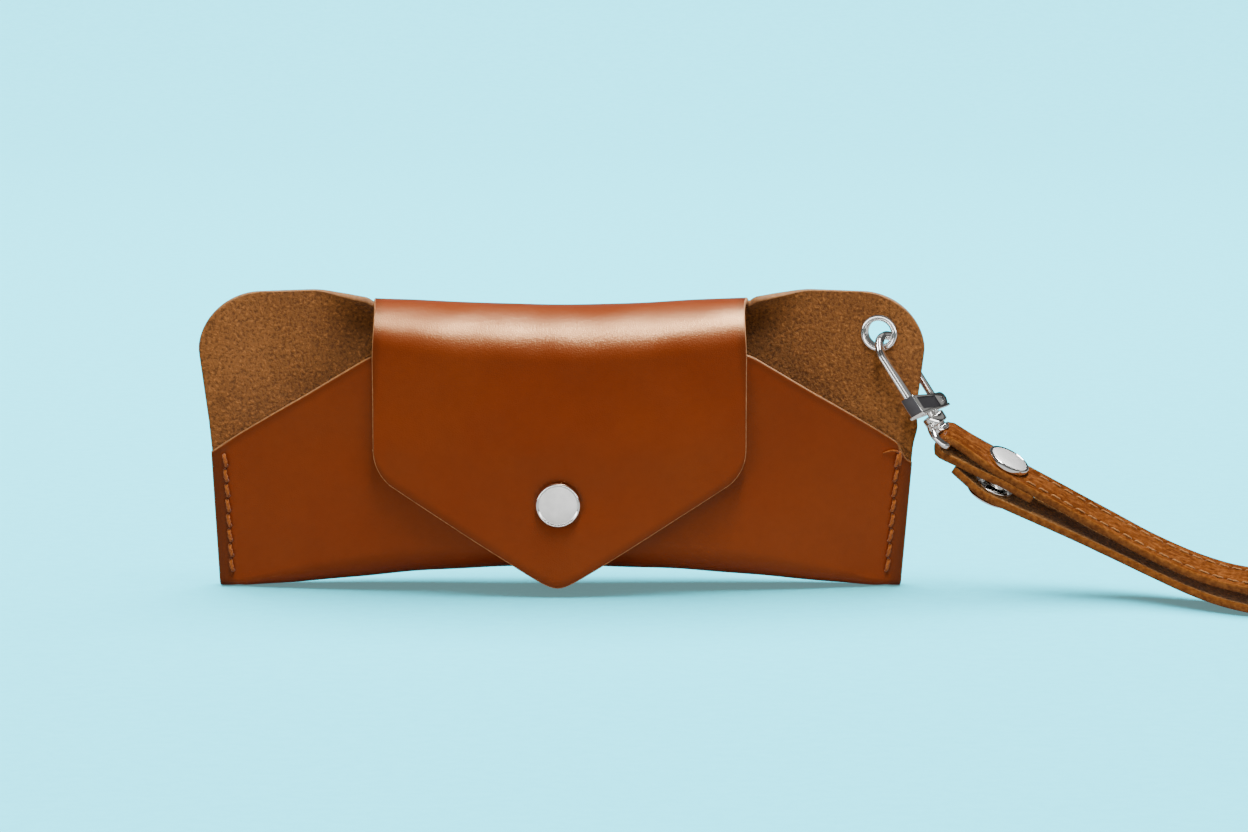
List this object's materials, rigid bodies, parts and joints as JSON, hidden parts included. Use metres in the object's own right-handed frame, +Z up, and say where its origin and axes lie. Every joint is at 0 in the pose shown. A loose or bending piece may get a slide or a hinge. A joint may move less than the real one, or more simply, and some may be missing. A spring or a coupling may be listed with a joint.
{
  "type": "eyeglasses case",
  "caption": "Soft leather eyeglasses case: folded and side-stitched pouch with a pointed snap flap, a corner eyelet and a wrist strap on a swivel clasp.",
  "frame": {"origin": "middle of the case's footprint on the surface it stands on, the strap and its clasp left out", "axes": "+X along the case towards the eyelet, +Y from the flap's side to the back, +Z up"},
  "size_m": [0.3385, 0.0527, 0.0706],
  "materials": {
    "hide": "smooth oiled full-grain hide, suede on the inside",
    "strap_leather": "waxed pull-up leather with light scuffs",
    "seam_thread": "waxed sewing thread",
    "strap_thread": "pale sewing thread",
    "polished_metal": "polished nickel plate",
    "satin_metal": "satin nickel plate"
  },
  "bodies": {
    "case": {"case_leather": "hide", "seam_thread_left": "seam_thread", "seam_thread_right": "seam_thread", "snap_stud": "polished_metal", "snap_stud_post": "satin_metal", "eyelet_barrel": "polished_metal", "eyelet_washer": "polished_metal"},
    "flap": {"flap_leather": "hide", "snap_cap": "satin_metal", "snap_socket": "polished_metal"},
    "clasp": {"clasp_hook": "polished_metal", "clasp_block": "polished_metal", "gate_pin": "satin_metal", "swivel_rivet": "satin_metal"},
    "gate": {"clasp_gate": "polished_metal"},
    "swivel": {"swivel_eye": "polished_metal"},
    "strap": {"strap_band": "strap_leather", "strap_thread_near": "strap_thread", "strap_thread_far": "strap_thread", "strap_cap": "satin_metal", "strap_socket": "polished_metal"},
    "tail": {"strap_tail": "strap_leather", "strap_stud": "polished_metal", "strap_stud_post": "satin_metal"}
  },
  "joints": [
    {"name": "flap_fold", "type": "hinge", "parent": "case", "child": "flap", "pos_m": [0, 0.00666, 0.0685], "axis": [-1, 0, 0], "range_deg": [0, 180]},
    {"name": "clasp_swing", "type": "hinge", "parent": "case", "child": "clasp", "pos_m": [0.0756, 0.00409, 0.061], "axis": [-0.2855, -0.9584, 0], "range_deg": [0, 60]},
    {"name": "gate_press", "type": "hinge", "parent": "clasp", "child": "gate", "pos_m": [0.08931, 0.0052, 0.04386], "axis": [0.6777, -0.5306, 0.5091], "range_deg": [0, 8], "stiffness_Nm_per_rad": 0.01, "springref_deg": -8.59},
    {"name": "swivel_turn", "type": "hinge", "parent": "clasp", "child": "swivel", "pos_m": [0.08909, 0.00118, 0.03996], "axis": [0.5381, -0.114, -0.8351], "continuous": true},
    {"name": "strap_pivot", "type": "hinge", "parent": "swivel", "child": "strap", "pos_m": [0.0921, 0.00054, 0.03528], "axis": [-0.2079, -0.9781, 0], "range_deg": [-15, 60]},
    {"name": "strap_unsnap", "type": "hinge", "parent": "strap", "child": "tail", "pos_m": [0.12759, -0.007, 0.01014], "axis": [-0.2079, -0.9781, 0], "range_deg": [0, 28]}
  ]
}
